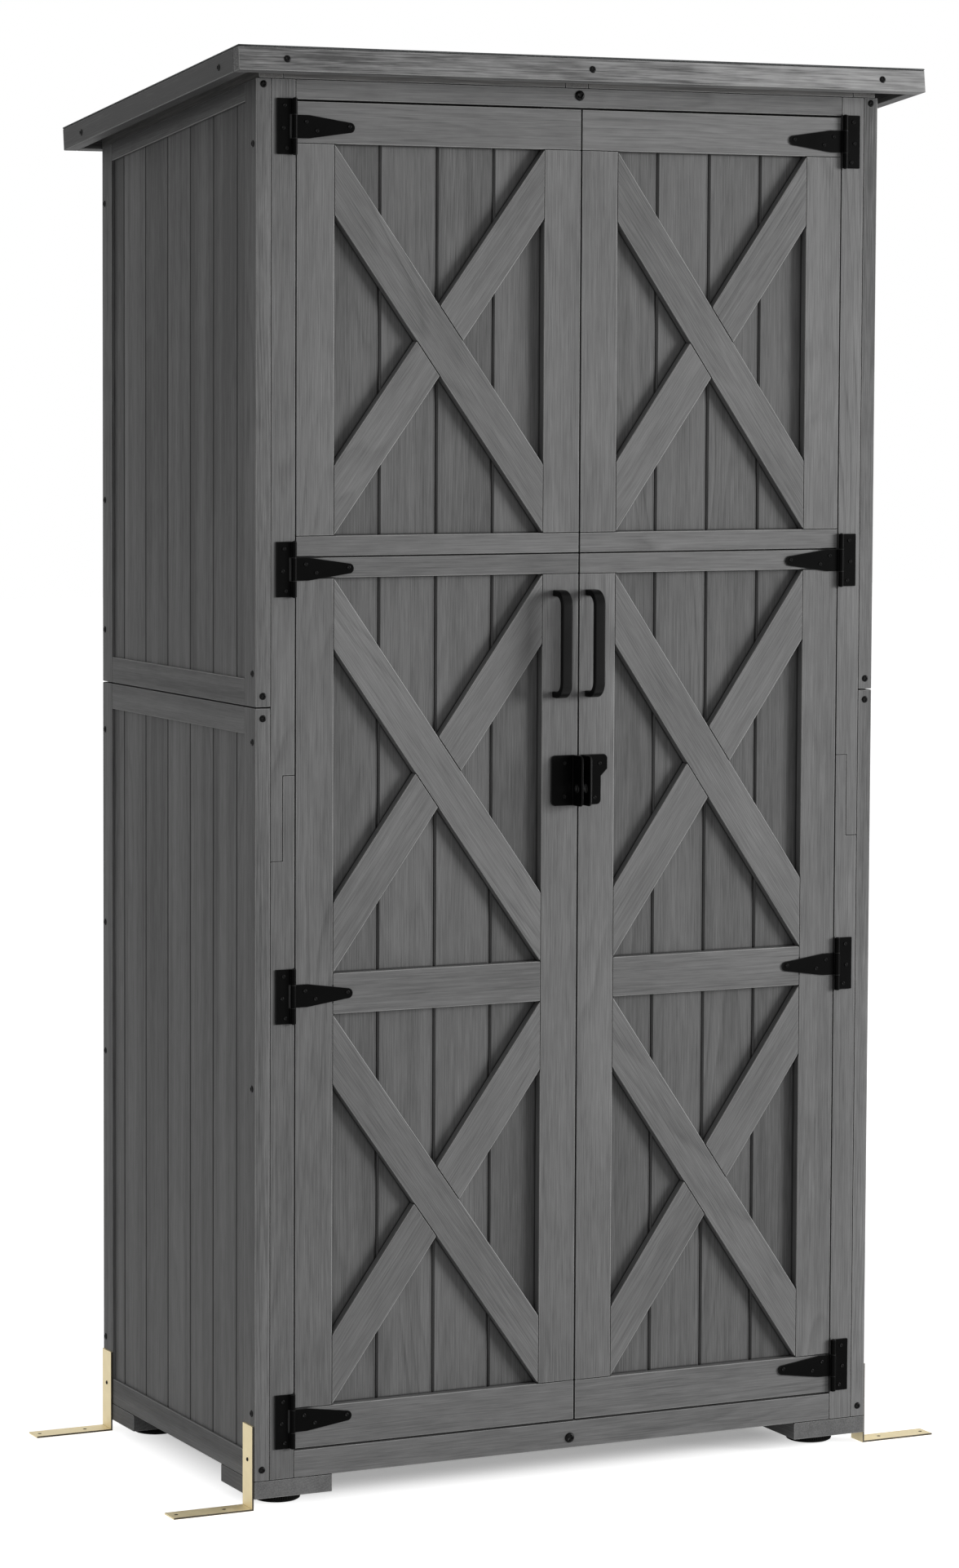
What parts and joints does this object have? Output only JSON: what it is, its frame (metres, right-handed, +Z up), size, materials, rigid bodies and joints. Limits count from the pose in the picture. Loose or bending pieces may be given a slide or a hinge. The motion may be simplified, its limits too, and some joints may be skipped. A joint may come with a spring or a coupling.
{
  "type": "garden storage cabinet",
  "caption": "Tall wooden garden storage cabinet with cross-braced double doors, slatted shelves, ground brackets and a sloping felted roof.",
  "frame": {"origin": "on the ground, under the middle of the roof's outline", "axes": "+Z up, +X to the cabinet's right as seen from the front, +Y from the doors to the back"},
  "size_m": [1.07, 0.5852, 1.7722],
  "materials": {
    "stained_fir": "grey stained softwood, planed",
    "stained_boards": "grey stained softwood boards, planed",
    "stained_inner_timber": "grey stained softwood, inside",
    "black_steel": "satin black coating",
    "zinc_steel": "zinc plated",
    "yellow_zinc_steel": "yellow passivated zinc on steel",
    "black_plastic": "moulded, matt",
    "roofing_felt": "mineral-faced bitumen felt"
  },
  "bodies": {
    "cabinet": {"back_lower_boards": "stained_boards", "back_lower_frame": "stained_fir", "back_upper_boards": "stained_boards", "back_upper_frame": "stained_fir", "door_stops": "stained_fir", "floor_bearers": "stained_inner_timber", "floor_boards": "stained_inner_timber", "foot_blocks": "stained_fir", "foot_pads": "black_plastic", "ground_brackets": "yellow_zinc_steel", "header_rail": "stained_fir", "hinge_plates": "black_steel", "left_jamb": "stained_fir", "left_side_lower_boards": "stained_boards", "left_side_lower_frame": "stained_fir", "left_side_upper_boards": "stained_boards", "left_side_upper_frame": "stained_fir", "lower_shelf": "stained_inner_timber", "middle_shelf": "stained_inner_timber", "right_jamb": "stained_fir", "right_side_lower_boards": "stained_boards", "right_side_lower_frame": "stained_fir", "right_side_upper_boards": "stained_boards", "right_side_upper_frame": "stained_fir", "roof_deck_boards": "stained_inner_timber", "roof_edge_fascias": "stained_fir", "roof_felt": "roofing_felt", "roof_front_fascia": "stained_fir", "roof_noggins": "stained_inner_timber", "roof_rafters": "stained_inner_timber", "shelf_battens": "stained_inner_timber", "sill_rail": "stained_fir", "upper_shelf": "stained_inner_timber"},
    "left_door": {"left_door_lower_boards": "stained_boards", "left_door_lower_braces": "stained_fir", "left_door_lower_frame": "stained_fir", "left_door_upper_boards": "stained_boards", "left_door_upper_braces": "stained_fir", "left_door_upper_frame": "stained_fir", "left_handle": "black_steel", "left_hinge_straps": "black_steel", "left_mending_plates": "zinc_steel", "left_padlock_eye": "black_steel"},
    "right_door": {"right_door_lower_boards": "stained_boards", "right_door_lower_braces": "stained_fir", "right_door_lower_frame": "stained_fir", "right_door_upper_boards": "stained_boards", "right_door_upper_braces": "stained_fir", "right_door_upper_frame": "stained_fir", "right_handle": "black_steel", "right_hinge_straps": "black_steel", "right_mending_plates": "zinc_steel", "right_padlock_eye": "black_steel"}
  },
  "joints": [
    {"name": "left_door_hinge", "type": "hinge", "parent": "cabinet", "child": "left_door", "pos_m": [-0.381, -0.24829, 0.9], "axis": [0, 0, -1], "range_deg": [0, 175]},
    {"name": "right_door_hinge", "type": "hinge", "parent": "cabinet", "child": "right_door", "pos_m": [0.381, -0.24829, 0.9], "axis": [0, 0, 1], "range_deg": [0, 175]}
  ]
}
